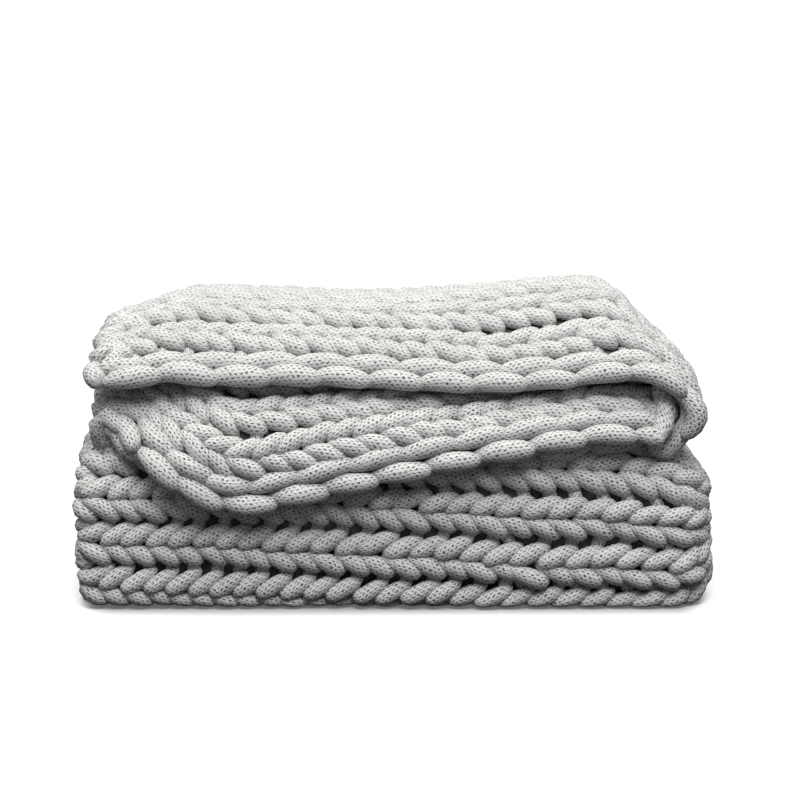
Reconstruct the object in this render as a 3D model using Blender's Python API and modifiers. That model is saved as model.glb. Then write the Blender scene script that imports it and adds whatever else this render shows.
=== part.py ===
"""Chunky rib-knit blanket, folded in four one way and in three the other way.

The blanket is one sheet. It is first folded along its ribs into a flat panel of four layers. That panel
is then folded over itself from front to back like a letter, so that twelve layers lie in the stack.
The cloth starts as a flat grid: its columns follow the ribs and its rows run across them. Each grid
point is then carried to its place in the folded stack.
"""
import math
from collections import namedtuple

import bmesh
import bpy
import numpy as np

OBJECT_NAME = "chunky_knit_blanket"

# The flat cloth, in metres
CLOTH_THICKNESS = 0.0125    # through the cloth at any one place
RIB_RISE = 0.0024           # how far the ribs weave the cloth to either side
EDGE_TO_RIB = 0.0125        # from one edge to the middle of the first rib, and the least that is left at the other
CLOTH_LENGTH = 1.3280       # across the ribs
RibPitch = namedtuple("RibPitch", "place pitch")
RIB_PITCHES = (             # from one rib to the next on one face, by how far along the cloth it lies
    RibPitch(0.000, 0.0243),
    RibPitch(0.037, 0.0253),
    RibPitch(0.062, 0.031),
    RibPitch(0.350, 0.031),
    RibPitch(0.400, 0.039),
    RibPitch(0.580, 0.039),
    RibPitch(0.640, 0.0535),
    RibPitch(0.860, 0.0535),
    RibPitch(0.910, 0.0187),   # close on the flat cloth, because the front fold stretches its outer layers
    RibPitch(1.020, 0.0187),
    RibPitch(1.070, 0.054),
)

# The stack
LAYER_PITCH = 0.0190        # from one layer to the next
PANEL_LAYERS = 4
STRAIGHT_RUN = 0.310        # between the centres of the front and rear folds
EDGE_ROLL = math.radians(30.0)   # how far the top panel's edge rolls down over the front
PRESS = 0.0030              # how far the lowest layer is pressed into the floor's plane
SEAT_BAND = 0.0008          # cloth lower than this is brought down to the floor
FLOOR_TO_LAYER = CLOTH_THICKNESS / 2 - PRESS    # height of the lowest layer's middle
FOLD_EASE = 0.020           # over this length the ribs flatten into the tight fold
LOWER_SQUARENESS = 10.0     # 2 is round: the weight on the tight fold squares its lower half
UPPER_SQUARENESS = 2.5

# The second folds, on the panel's middle: the top panel rolls over the edge of the stack, runs back and
# wraps the rear; the bottom panel runs forward and turns up into the tight fold, inside the stack
PANEL_HEIGHT = PANEL_LAYERS * LAYER_PITCH
EDGE_RADIUS = 1.5 * PANEL_HEIGHT
REAR_RADIUS = PANEL_HEIGHT
TIGHT_RADIUS = 0.5 * PANEL_HEIGHT
REAR_CENTRE_Z = 1.5 * PANEL_HEIGHT
REAR_LENGTH = math.pi * REAR_RADIUS
TIGHT_LENGTH = math.pi * TIGHT_RADIUS
TOP_START = EDGE_RADIUS * EDGE_ROLL
REAR_START = TOP_START + STRAIGHT_RUN
BOTTOM_START = REAR_START + REAR_LENGTH
TIGHT_START = BOTTOM_START + STRAIGHT_RUN
INNER_START = TIGHT_START + TIGHT_LENGTH

# The first folds. A level counts layer pitches from the middle of the panel. A reach says how far the
# front edge comes forward of the straight one, at the left end, the middle and the right end of a run.
Run = namedtuple("Run", "name start_x end_x level steps reach_start reach_peak reach_end peak_x")
LEFT_UPPER_X = -0.241
LEFT_LOWER_X = -0.240
RIGHT_OUTER_X = 0.216
RIGHT_INNER_X = 0.214
RUNS = (
    Run("tucked start", -0.130, LEFT_UPPER_X, 0.5, 2, -0.050, -0.050, -0.030, -0.180),
    Run("outer face", LEFT_UPPER_X, RIGHT_OUTER_X, 1.5, 6, 0.000, 0.000, 0.000, 0.000),
    Run("under face", RIGHT_OUTER_X, LEFT_LOWER_X, -1.5, 5, 0.024, 0.040, 0.010, 0.130),
    Run("lip", LEFT_LOWER_X, RIGHT_INNER_X, -0.5, 7, 0.004, 0.102, 0.033, -0.124),
    Run("tucked end", RIGHT_INNER_X, 0.130, 0.5, 2, -0.010, -0.050, -0.050, 0.180),
)
FOLD_STEPS = 4              # segments around a fold one layer pitch across
OUTER_FOLD_STEPS = 5
PEAK_RISE = 1.7             # a reach rises steeply from its left end to a flat peak
PEAK_ROUNDING = 0.08        # right of its peak it falls soon, and eases off towards the end
PEAK_FALL = 1.72
REACH_EASE = (0.060, 0.300) # a reach is full up to the first place along the cloth, and gone by the second
INNER_REACH = 0.024         # how much further the middle layers run into the rear fold at the inner end
INNER_REACH_LENGTH = 0.200
RIB_SKEW = 0.026            # how steeply the ribs run off the straight across the front of the stack

# How the front of the top panel settles, in layer pitches
OUTER_SAG = 0.88            # the outer face's edge comes down onto the lip
OUTER_SAG_LENGTH = 0.100
LIP_SAG = 0.90              # the lip's edge comes in to the lower folds
LIP_SAG_START = -0.020      # measured on the panel's middle, as every length along it
LIP_SAG_LENGTH = 0.080
SAG_END_SHARE = 0.15        # what is left of both over the end folds
SAG_FULL_X = 0.130
SAG_FADED_X = 0.215

# How the stack has slumped: soft humps, in metres
Hump = namedtuple("Hump", "x y height spread_x spread_y")
LIFTS = (
    Hump(-0.170, 0.030, 0.001, 0.070, 0.100),
    Hump(-0.030, 0.060, -0.006, 0.090, 0.120),
    Hump(0.160, 0.030, 0.010, 0.090, 0.100),
    Hump(0.085, -0.025, -0.012, 0.070, 0.035),
    Hump(-0.075, -0.085, 0.007, 0.085, 0.045),
    Hump(-0.220, -0.080, -0.006, 0.035, 0.040),
    Hump(0.260, 0.060, -0.028, 0.055, 0.300),
    Hump(-0.270, 0.060, -0.012, 0.060, 0.300),
)
SIDE_BULGES = (
    Hump(-0.260, 0.120, 0.014, 0.090, 0.300),
    Hump(0.260, 0.060, -0.014, 0.090, 0.300),
)
CREST_RISE = 0.023          # the top rises from its front edge to a crest
CREST_START_Y = -0.062
CREST_Y = 0.030
Fall = namedtuple("Fall", "share start_x end_x")
LEFT_FALL = Fall(0.40, 0.175, 0.235)    # the share of the crest that is lost at the left end
RIGHT_FALL = Fall(0.95, 0.166, 0.226)
REAR_FALL = 0.040           # and falls from there to the rear fold
REAR_FALL_END_Y = 0.360
UPPER_PANEL_Z = (0.100, 0.180)  # between these heights the lower block gives way to the upper one
Waist = namedtuple("Waist", "x z depth spread_x spread_z")
WAISTS = (                  # the ends draw in where the lower block meets the upper one
    Waist(-0.260, 0.150, 0.007, 0.050, 0.010),
    Waist(0.260, 0.141, -0.020, 0.050, 0.021),
    Waist(0.260, 0.080, -0.004, 0.050, 0.045),
)

YARN_COLOUR = (0.42, 0.40, 0.38, 1.0)
YARN_ROUGHNESS = 0.95


def fade(distance, length):
    """1 at no distance, easing to 0 at the given length and past it."""
    share = np.clip(1.0 - distance / length, 0.0, 1.0)
    return share * share


def smooth_step(value, start, end):
    """0 before start, 1 past end, easing between them."""
    share = np.clip((value - start) / (end - start), 0.0, 1.0)
    return share * share * (3.0 - 2.0 * share)


def run_reach(run, x):
    """How far the front edge of one run comes forward at x."""
    low, high = sorted([(run.start_x, run.reach_start), (run.end_x, run.reach_end)])
    if x < run.peak_x:
        share = (run.peak_x - x) / (run.peak_x - low[0])
        return low[1] + (run.reach_peak - low[1]) * (1.0 - share ** PEAK_RISE)
    share = (x - run.peak_x) / (high[0] - run.peak_x)
    share = share * share / (share + PEAK_ROUNDING)
    return high[1] + (run.reach_peak - high[1]) * max(1.0 - share, 0.0) ** PEAK_FALL


def panel_section():
    """The panel's section along the ribs: rows of x, level and reach, through runs and folds."""
    rows = []
    for index, run in enumerate(RUNS):
        for step in range(run.steps + 1):
            x = run.start_x + (run.end_x - run.start_x) * step / run.steps
            rows.append((x, run.level, run_reach(run, x)))
        if index + 1 == len(RUNS):
            continue
        following = RUNS[index + 1]
        side = math.copysign(1.0, run.end_x - run.start_x)
        radius = (following.level - run.level) / 2
        steps = FOLD_STEPS if abs(radius) < 1.0 else OUTER_FOLD_STEPS
        for step in range(1, steps):
            turn = math.pi * step / steps
            share = (1.0 - math.cos(turn)) / 2
            x = run.end_x + (following.start_x - run.end_x) * share
            x += side * abs(radius) * LAYER_PITCH * math.sin(turn)
            reach = run.reach_end + (following.reach_start - run.reach_end) * share
            rows.append((x, run.level + 2 * radius * share, reach))
    return np.array(rows).T


def squared_fold(turn):
    """The tight fold's course: how far forward and how far down, as shares of its radius.

    The turn runs from 0 underneath to pi on top, and its steps are spread evenly along the squared course.
    """
    angles = np.linspace(0.0, math.pi, 721)
    power = np.where(angles < math.pi / 2, 2 / LOWER_SQUARENESS, 2 / UPPER_SQUARENESS)
    front = np.sin(angles).clip(0.0) ** power
    under = np.sign(np.cos(angles)) * abs(np.cos(angles)) ** power
    length = np.concatenate([[0.0], np.cumsum(np.hypot(np.diff(front), np.diff(under)))])
    place = turn / math.pi * length[-1]
    return np.interp(place, length, front), np.interp(place, length, under)


def letter_path(along, level):
    """Where a point lies in the front-to-back folds: its y and z.

    along is measured on the panel's middle from its upper front edge, and level is in layer pitches.
    """
    offset = level * LAYER_PITCH
    edge_turn = np.clip(along - TOP_START, None, 0.0) / EDGE_RADIUS
    top_run = np.clip(along - TOP_START, 0.0, STRAIGHT_RUN)
    rear_turn = np.clip(along - REAR_START, 0.0, REAR_LENGTH) / REAR_RADIUS
    bottom_run = np.clip(along - BOTTOM_START, 0.0, STRAIGHT_RUN)
    tight_turn = np.clip(along - TIGHT_START, 0.0, TIGHT_LENGTH) / TIGHT_RADIUS
    inner_run = np.clip(along - INNER_START, 0.0, None)

    front, under = squared_fold(tight_turn)
    upper_y = (EDGE_RADIUS + offset) * np.sin(edge_turn) + top_run
    upper_z = PANEL_HEIGHT + (EDGE_RADIUS + offset) * np.cos(edge_turn)
    rear_y = STRAIGHT_RUN + (REAR_RADIUS + offset) * np.sin(rear_turn)
    rear_z = REAR_CENTRE_Z + (REAR_RADIUS + offset) * np.cos(rear_turn)
    lower_y = STRAIGHT_RUN - bottom_run - (TIGHT_RADIUS + offset) * front + inner_run
    lower_z = PANEL_HEIGHT - (TIGHT_RADIUS + offset) * under
    y = np.where(along < REAR_START, upper_y, np.where(along < BOTTOM_START, rear_y, lower_y))
    z = np.where(along < REAR_START, upper_z, np.where(along < BOTTOM_START, rear_z, lower_z))
    return y, z


def rib_room(along, level):
    """The share of a rib's rise that fits where a layer is crowded inside the tight fold."""
    in_fold = smooth_step(along, TIGHT_START - FOLD_EASE, TIGHT_START)
    in_fold = in_fold * (1.0 - smooth_step(along, INNER_START, INNER_START + FOLD_EASE))
    crowding = np.clip(-level * LAYER_PITCH / TIGHT_RADIUS, 0.0, 1.0)
    return 1.0 - in_fold * crowding


def settled_level(along, level, x):
    """The level once the front edges of the outer face and the lip have settled."""
    middle = 1.0 - (1.0 - SAG_END_SHARE) * smooth_step(abs(x), SAG_FULL_X, SAG_FADED_X)
    outer_share = smooth_step(level, 0.5, 1.5) * middle
    lip_share = smooth_step(level, -1.5, -0.5) * (1.0 - smooth_step(level, -0.5, 0.5)) * middle
    outer = OUTER_SAG * outer_share * fade(along, OUTER_SAG_LENGTH)
    lip = LIP_SAG * lip_share * smooth_step(LIP_SAG_START - along, 0.0, LIP_SAG_LENGTH)
    return level - outer - lip


def humps(rows, x, y):
    """The height of a table of round humps at x and y."""
    return sum(row.height * np.exp(-((x - row.x) / row.spread_x) ** 2 - ((y - row.y) / row.spread_y) ** 2)
               for row in rows)


def slump(x, y, z):
    """The crest, humps and hollows of a stack folded by hand. They fade out towards the floor."""
    share = smooth_step(z, 0.0, 3 * PANEL_HEIGHT)
    left = LEFT_FALL.share * smooth_step(-x, LEFT_FALL.start_x, LEFT_FALL.end_x)
    right = RIGHT_FALL.share * smooth_step(x, RIGHT_FALL.start_x, RIGHT_FALL.end_x)
    crest = CREST_RISE * smooth_step(y, CREST_START_Y, CREST_Y) * (1.0 - left - right)
    rear = REAR_FALL * smooth_step(y, CREST_Y, REAR_FALL_END_Y)
    lift = crest - rear + humps(LIFTS, x, y)
    drawn_in = sum(row.depth * np.exp(-((x - row.x) / row.spread_x) ** 2 - ((z - row.z) / row.spread_z) ** 2)
                   for row in WAISTS)
    bulge = humps(SIDE_BULGES, x, y) * smooth_step(z, *UPPER_PANEL_Z)
    return x + drawn_in + bulge, y, z + lift * share


def rib_rows():
    """How far along the cloth each grid row lies: the edge, a rib, the hollow after it, and so on."""
    places, pitches = zip(*RIB_PITCHES)
    ribs = [EDGE_TO_RIB]
    while ribs[-1] < CLOTH_LENGTH - EDGE_TO_RIB:
        ribs.append(ribs[-1] + np.interp(ribs[-1], places, pitches))
    ribs = np.array(ribs[:-1])
    rows = np.zeros(2 * ribs.size + 1)
    rows[1::2] = ribs
    rows[2:-1:2] = (ribs[:-1] + ribs[1:]) / 2
    rows[-1] = CLOTH_LENGTH
    return rows


def rib_weave(count):
    """How far the cloth stands out at each grid row: out on a rib, in on a hollow, level at the edges."""
    weave = np.full(count, -RIB_RISE)
    weave[1::2] = RIB_RISE
    weave[[0, -1]] = 0.0
    return weave


def place_along(flat, level, reach, x):
    """How far along the folds a point comes to lie, from its place on the flat cloth."""
    width = flat[0, -1]
    skew = smooth_step(flat, TOP_START, BOTTOM_START) * (1.0 - smooth_step(flat, INNER_START, width))
    middle_layers = np.clip(1.5 - abs(level), 0.0, 1.0)
    inner = INNER_REACH * middle_layers * fade(width - flat, INNER_REACH_LENGTH)
    moved = reach * (1.0 - smooth_step(flat, *REACH_EASE))
    return flat - moved - RIB_SKEW * x * skew + inner


def folded_points():
    """The place of every grid point, as arrays over columns and rows."""
    x, level, reach = (row[:, None] for row in panel_section())
    flat = rib_rows()[None, :]
    along = place_along(flat, level, reach, x)
    level = settled_level(along, level, x)

    weave = rib_weave(flat.size)[None, :] * rib_room(along, level)
    step_x = np.gradient(x + 0.0 * along, axis=0)
    step_level = np.gradient(level * LAYER_PITCH, axis=0)
    step_length = np.hypot(step_x, step_level)
    woven_x = x - weave * step_level / step_length
    woven_level = level + weave * step_x / step_length / LAYER_PITCH

    y, z = letter_path(along, woven_level)
    sunk = z - (0.5 * LAYER_PITCH - FLOOR_TO_LAYER)
    return slump(woven_x, y, sunk)


def make_cloth(collection):
    """The folded sheet: a flat grid carried to its folds, then thickened."""
    x, y, z = folded_points()
    columns, rows = x.shape
    mesh = bpy.data.meshes.new("cloth_middle")
    shell = bmesh.new()
    bmesh.ops.create_grid(shell, x_segments=columns - 1, y_segments=rows - 1, size=0.5)
    for vertex in shell.verts:
        column = round((vertex.co.x + 0.5) * (columns - 1))
        row = round((vertex.co.y + 0.5) * (rows - 1))
        vertex.co = (x[column, row], y[column, row], z[column, row])
    shell.to_mesh(mesh)
    shell.free()

    middle = bpy.data.objects.new("cloth_middle", mesh)
    collection.objects.link(middle)
    thicken = middle.modifiers.new("Thickness", "SOLIDIFY")
    thicken.thickness = CLOTH_THICKNESS
    thicken.offset = 0.0
    return middle


def seat_on_floor(middle, collection):
    """Bring the lowest layer's underside flat onto the floor, and centre the stack on its origin."""
    evaluated = middle.evaluated_get(bpy.context.evaluated_depsgraph_get())
    mesh = bpy.data.meshes.new_from_object(evaluated)
    bpy.data.objects.remove(middle)
    points = np.array([vertex.co for vertex in mesh.vertices])
    centre = (points.min(axis=0) + points.max(axis=0)) / 2
    for vertex in mesh.vertices:
        height = 0.0 if vertex.co.z < SEAT_BAND else vertex.co.z
        vertex.co = (vertex.co.x - centre[0], vertex.co.y - centre[1], height)
    mesh.name = "blanket"
    blanket = bpy.data.objects.new("blanket", mesh)
    collection.objects.link(blanket)
    return blanket


def yarn_material():
    """Pale grey cotton tube yarn."""
    material = bpy.data.materials.new("grey_yarn")
    material.use_nodes = True
    shader = material.node_tree.nodes["Principled BSDF"]
    shader.inputs["Base Color"].default_value = YARN_COLOUR
    shader.inputs["Roughness"].default_value = YARN_ROUGHNESS
    shader.inputs["Metallic"].default_value = 0.0
    return material


def main():
    for old in list(bpy.data.objects):
        bpy.data.objects.remove(old)
    collection = bpy.data.collections.new(OBJECT_NAME)
    bpy.context.scene.collection.children.link(collection)
    blanket = seat_on_floor(make_cloth(collection), collection)
    blanket.data.materials.append(yarn_material())


if __name__ == "__main__":
    main()
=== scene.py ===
import math
from collections import namedtuple

import bmesh
import bpy
import numpy as np
from bpy.props import FloatProperty, FloatVectorProperty, IntProperty, PointerProperty
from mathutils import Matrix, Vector


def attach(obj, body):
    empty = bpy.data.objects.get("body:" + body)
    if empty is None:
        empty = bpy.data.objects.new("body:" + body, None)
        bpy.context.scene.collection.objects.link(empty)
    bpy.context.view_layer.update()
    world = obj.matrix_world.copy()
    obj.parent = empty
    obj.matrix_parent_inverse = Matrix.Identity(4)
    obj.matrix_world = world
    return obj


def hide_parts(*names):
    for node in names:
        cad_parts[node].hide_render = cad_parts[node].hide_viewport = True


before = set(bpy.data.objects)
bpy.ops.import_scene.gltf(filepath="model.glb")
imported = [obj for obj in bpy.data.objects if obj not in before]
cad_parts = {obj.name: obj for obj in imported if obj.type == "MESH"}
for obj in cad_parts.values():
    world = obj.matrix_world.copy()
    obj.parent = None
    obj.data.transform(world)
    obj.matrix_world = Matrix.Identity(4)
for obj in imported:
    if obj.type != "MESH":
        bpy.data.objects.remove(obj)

bl_info = {
    "name": "Folded Chunky Knit Blanket",
    "version": (1, 0, 0),
    "blender": (4, 5, 0),
    "location": "3D View > Sidebar > Blanket",
    "description": "Knits every stitch of a folded chunky blanket over its solid",
    "category": "Add Mesh",
}

NODE = "blanket"
STACK_CENTRE = (-0.00421, 0.16316)  # the folded stack's middle, before it is brought to the origin

# The stack's folds, in metres. A level counts layer pitches from the middle of the four-layer panel.
LAYER_PITCH = 0.0190
FLOOR_TO_LAYER = 0.00325
STRAIGHT_RUN = 0.310
EDGE_ROLL = math.radians(30.0)
PANEL_HEIGHT = 4 * LAYER_PITCH
EDGE_RADIUS = 1.5 * PANEL_HEIGHT
REAR_RADIUS = PANEL_HEIGHT
TIGHT_RADIUS = 0.5 * PANEL_HEIGHT
REAR_CENTRE_Z = 1.5 * PANEL_HEIGHT
REAR_LENGTH = math.pi * REAR_RADIUS
TIGHT_LENGTH = math.pi * TIGHT_RADIUS
TOP_START = EDGE_RADIUS * EDGE_ROLL
REAR_START = TOP_START + STRAIGHT_RUN
BOTTOM_START = REAR_START + REAR_LENGTH
TIGHT_START = BOTTOM_START + STRAIGHT_RUN
INNER_START = TIGHT_START + TIGHT_LENGTH
FLAT_LENGTH = 1.328  # the cloth's whole length across its ribs

# The runs of the cloth from left to right and back, with how far each comes forward at the front
Run = namedtuple("Run", "name start_x end_x level reach_start reach_peak reach_end peak_x")
RUNS = (
    Run("tucked start", -0.130, -0.241, 0.5, -0.050, -0.050, -0.030, -0.180),
    Run("outer face", -0.241, 0.216, 1.5, 0.000, 0.000, 0.000, 0.000),
    Run("under face", 0.216, -0.240, -1.5, 0.024, 0.040, 0.010, 0.130),
    Run("lip", -0.240, 0.214, -0.5, 0.004, 0.102, 0.033, -0.124),
    Run("tucked end", 0.214, 0.130, 0.5, -0.010, -0.050, -0.050, 0.180),
)
SECTION_STEP = 0.003
SMALL_STEP = 0.002  # over which slopes are measured
PEAK_ROUNDING = 0.08  # right of its peak a reach falls soon, and eases off towards the end
PEAK_FALL = 1.72
PEAK_RISE = 1.7
REACH_EASE = (0.060, 0.300)
LOWER_SQUARENESS = 10.0
UPPER_SQUARENESS = 2.5
INNER_REACH = 0.024
INNER_REACH_LENGTH = 0.200
RIB_SKEW = 0.026

# How the front of the top panel settles: sags are in layer pitches, lengths in metres
OUTER_SAG = 0.88
OUTER_SAG_LENGTH = 0.100
LIP_SAG = 0.90
LIP_SAG_START = -0.020
LIP_SAG_LENGTH = 0.080
SAG_END_SHARE = 0.15
SAG_FULL_X = 0.130
SAG_FADED_X = 0.215

# How the stack has slumped
Hump = namedtuple("Hump", "x y height spread_x spread_y")
LIFTS = (
    Hump(-0.170, 0.030, 0.001, 0.070, 0.100),
    Hump(-0.030, 0.060, -0.006, 0.090, 0.120),
    Hump(0.160, 0.030, 0.010, 0.090, 0.100),
    Hump(0.085, -0.025, -0.012, 0.070, 0.035),
    Hump(-0.075, -0.085, 0.007, 0.085, 0.045),
    Hump(-0.220, -0.080, -0.006, 0.035, 0.040),
    Hump(0.260, 0.060, -0.028, 0.055, 0.300),
    Hump(-0.270, 0.060, -0.012, 0.060, 0.300),
)
DRAWN_IN_SIDES = (  # of the upper block
    Hump(-0.260, 0.120, 0.014, 0.090, 0.300),
    Hump(0.260, 0.060, -0.014, 0.090, 0.300),
)
CREST_RISE = 0.023
CREST_START_Y = -0.062
CREST_Y = 0.030
LEFT_FALL = (0.40, 0.175, 0.235)  # the share of the crest lost at the left end, from one place to another
RIGHT_FALL = (0.95, 0.166, 0.226)
REAR_FALL = 0.040
REAR_FALL_END_Y = 0.360
UPPER_PANEL_Z = (0.100, 0.180)  # between these heights the lower block gives way to the upper one
Waist = namedtuple("Waist", "x z depth spread_x spread_z")
WAISTS = (
    Waist(-0.260, 0.150, 0.007, 0.050, 0.010),
    Waist(0.260, 0.141, -0.020, 0.050, 0.021),
    Waist(0.260, 0.080, -0.004, 0.050, 0.045),
)

# Wales of the outer face: from each distance on, how far it is to the next wale
OUTER_PITCHES = (
    (0.000, 0.031), (0.340, 0.031), (0.460, 0.0371), (1.040, 0.0371), (1.080, 0.0367), (1.600, 0.0367))
LIP_PITCHES = ((0.000, 0.031), (0.260, 0.031), (0.420, 0.043), (1.600, 0.043))
OUTER_FIRST_WALE = 0.0460  # from the cloth's edge to the middle of the first wale
LIP_FIRST_WALE = 0.0370
CHAIN_WIDTH = 0.0140  # from the cloth's edge to where the first bars begin

# A leg of a stitch, followed from its inner end to its outer end
LEG_SHARES_CLOSE = (-1.00, -0.93, -0.74, -0.46, -0.15, 0.18, 0.49, 0.76, 0.94, 1.00)
LEG_SHARES_FAR = (-1.00, -0.88, -0.50, 0.00, 0.50, 0.88, 1.00)
# An upper leg is blunt at its inner end and tapers outward, a lower one the other way round
Leg = namedtuple("Leg", "rise inner_bluntness outer_bluntness inner_thinning outer_thinning")
UPPER_LEG = Leg(0.0022, 3.4, 3.0, 0.00, 0.12)
LOWER_LEG = Leg(0.0014, 2.2, 5.5, 0.18, 0.00)
INNER_END_DIVE = 0.55  # shares of the dive of a leg's two ends
OUTER_END_DIVE = 0.40
NARROW_WALE = 0.031
WIDE_WALE = 0.042
ROW_SCATTER = 0.0007
HEIGHT_SCATTER = 0.0006
RUN_SCATTER = 0.0008

# A bar between two wales, and the two rows of the chain edge
BAR_SHARES = (-1.0, -0.6, 0.0, 0.6, 1.0)
BAR_REACH = 0.30  # half a bar's length, as a share of the gap between its wales
BAR_FULLNESS = 0.78
LINK_SHARES = (-1.0, -0.92, -0.76, -0.52, -0.24, 0.06, 0.36, 0.62, 0.82, 0.95, 1.0)
LinkEnd = namedtuple("LinkEnd", "bluntness thinning dive")
LinkRow = namedtuple("LinkRow", "across slant lift half_length fullness phase left right")
LINK_ROWS = (
    LinkRow(0.0182, 0.0036, 0.0030, 0.0275, 1.06, 0.00,
            LinkEnd(3.0, 0.05, 0.001), LinkEnd(6.0, 0.45, 0.007)),
    LinkRow(0.0042, -0.0062, 0.0028, 0.0265, 1.14, 0.30,
            LinkEnd(4.0, 0.50, 0.008), LinkEnd(4.0, 0.05, 0.001)),
)

# The core below the links, and how it changes where it fills the narrow fold beside the lip
Core = namedtuple("Core", "across lift fullness")
CORE = Core(0.0090, -0.0065, 0.50)
CORE_BESIDE_LIP = Core(-0.0046, -0.0035, 0.95)

# The thin ground cloth's two faces, off the cloth's middle
GROUND_FACES = (-0.0045, -0.0095)
GROUND_MARGINS = (0.010, 0.004)

FLOOR_BAND = 0.005  # yarn this near the floor is pressed flat

# The floor's colour is darkened beside the blanket's foot, a painted shadow, so that the contact shadow shows
FOOT_HALF_SIZE = (0.222, 0.230)
PAINTED_SHADOW_WIDTH = 0.035
PAINTED_SHADOW_LEVEL = 0.42
FLOOR_RADIUS = 0.95
FLOOR_CORNERS = 96  # ---- folds

def fade(distance, length):
    """1 at no distance, easing to 0 at the given length and past it."""
    share = np.clip(1.0 - distance / length, 0.0, 1.0)
    return share * share


def smooth_step(value, start, end):
    """0 before start, 1 past end, easing between them."""
    share = np.clip((value - start) / (end - start), 0.0, 1.0)
    return share * share * (3.0 - 2.0 * share)


def run_reach(run, x):
    """How far the front edge of one run comes forward at x."""
    low, high = sorted([(run.start_x, run.reach_start), (run.end_x, run.reach_end)])
    if x < run.peak_x:
        share = (run.peak_x - x) / (run.peak_x - low[0])
        return low[1] + (run.reach_peak - low[1]) * (1.0 - share ** PEAK_RISE)
    share = (x - run.peak_x) / (high[0] - run.peak_x)
    share = share * share / (share + PEAK_ROUNDING)
    return high[1] + (run.reach_peak - high[1]) * max(1.0 - share, 0.0) ** PEAK_FALL


def section_table():
    """The cloth's section along its ribs, as named columns, and the lengths at which each run lies."""
    rows, marks = [], {}
    for index, run in enumerate(RUNS):
        marks[run.name] = [len(rows), 0]
        steps = max(2, round(abs(run.end_x - run.start_x) / SECTION_STEP))
        for step in range(steps + 1):
            x = run.start_x + (run.end_x - run.start_x) * step / steps
            rows.append((x, run.level, run_reach(run, x)))
        marks[run.name][1] = len(rows) - 1
        if index + 1 == len(RUNS):
            continue
        following = RUNS[index + 1]
        side = math.copysign(1.0, run.end_x - run.start_x)
        radius = (following.level - run.level) / 2
        steps = max(8, round(math.pi * abs(radius) * LAYER_PITCH / SECTION_STEP))
        for step in range(1, steps):
            turn = math.pi * step / steps
            share = (1.0 - math.cos(turn)) / 2
            x = run.end_x + (following.start_x - run.end_x) * share
            x += side * abs(radius) * LAYER_PITCH * math.sin(turn)
            reach = run.reach_end + (following.reach_start - run.reach_end) * share
            rows.append((x, run.level + 2 * radius * share, reach))
    x, level, reach = np.array(rows).T
    length = np.concatenate([[0.0], np.cumsum(np.hypot(np.diff(x), np.diff(level) * LAYER_PITCH))])
    step_x = np.gradient(x, length)
    step_level = np.gradient(level * LAYER_PITCH, length)
    size = np.hypot(step_x, step_level)
    section = {"x": x, "level": level, "reach": reach, "length": length,
               "normal_x": -step_level / size, "normal_level": step_x / size}
    return section, {name: (length[first], length[last]) for name, (first, last) in marks.items()}


SECTION, RUN_MARKS = section_table()
TOTAL_RUN = SECTION["length"][-1]


def section_at(run, name="x"):
    """A column of the section at lengths along the ribs."""
    return np.interp(run, SECTION["length"], SECTION[name])


def squared_fold(turn):
    """The tight fold's course: how far forward and how far down, as shares of its radius."""
    angles = np.linspace(0.0, math.pi, 721)
    power = np.where(angles < math.pi / 2, 2 / LOWER_SQUARENESS, 2 / UPPER_SQUARENESS)
    front = np.sin(angles).clip(0.0) ** power
    under = np.sign(np.cos(angles)) * abs(np.cos(angles)) ** power
    length = np.concatenate([[0.0], np.cumsum(np.hypot(np.diff(front), np.diff(under)))])
    place = turn / math.pi * length[-1]
    return np.interp(place, length, front), np.interp(place, length, under)


def letter_path(along, level):
    """Where a point lies in the front-to-back folds: its y and z."""
    offset = level * LAYER_PITCH
    edge_turn = np.clip(along - TOP_START, None, 0.0) / EDGE_RADIUS
    top_run = np.clip(along - TOP_START, 0.0, STRAIGHT_RUN)
    rear_turn = np.clip(along - REAR_START, 0.0, REAR_LENGTH) / REAR_RADIUS
    bottom_run = np.clip(along - BOTTOM_START, 0.0, STRAIGHT_RUN)
    tight_turn = np.clip(along - TIGHT_START, 0.0, TIGHT_LENGTH) / TIGHT_RADIUS
    inner_run = np.clip(along - INNER_START, 0.0, None)

    front, under = squared_fold(tight_turn)
    top = ((EDGE_RADIUS + offset) * np.sin(edge_turn) + top_run,
           PANEL_HEIGHT + (EDGE_RADIUS + offset) * np.cos(edge_turn))
    rear = (STRAIGHT_RUN + (REAR_RADIUS + offset) * np.sin(rear_turn),
            REAR_CENTRE_Z + (REAR_RADIUS + offset) * np.cos(rear_turn))
    bottom = (STRAIGHT_RUN - bottom_run - (TIGHT_RADIUS + offset) * front + inner_run,
              PANEL_HEIGHT - (TIGHT_RADIUS + offset) * under)
    parts = (along < REAR_START, along < BOTTOM_START)
    return [np.select(parts, pair, beyond) for *pair, beyond in zip(top, rear, bottom)]


def settled_level(along, level, x):
    """The level once the front edges of the outer face and the lip have settled."""
    middle = 1.0 - (1.0 - SAG_END_SHARE) * smooth_step(abs(x), SAG_FULL_X, SAG_FADED_X)
    outer_share = smooth_step(level, 0.5, 1.5) * middle
    lip_share = smooth_step(level, -1.5, -0.5) * (1.0 - smooth_step(level, -0.5, 0.5)) * middle
    outer = OUTER_SAG * outer_share * fade(along, OUTER_SAG_LENGTH)
    lip = LIP_SAG * lip_share * smooth_step(LIP_SAG_START - along, 0.0, LIP_SAG_LENGTH)
    return level - outer - lip


def mounds(rows, first, second):
    """The sum of a table of round mounds over two measures, which the first two columns belong to."""
    return sum(size * np.exp(-((first - first_middle) / first_spread) ** 2
                             - ((second - second_middle) / second_spread) ** 2)
               for first_middle, second_middle, size, first_spread, second_spread in rows)


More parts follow.
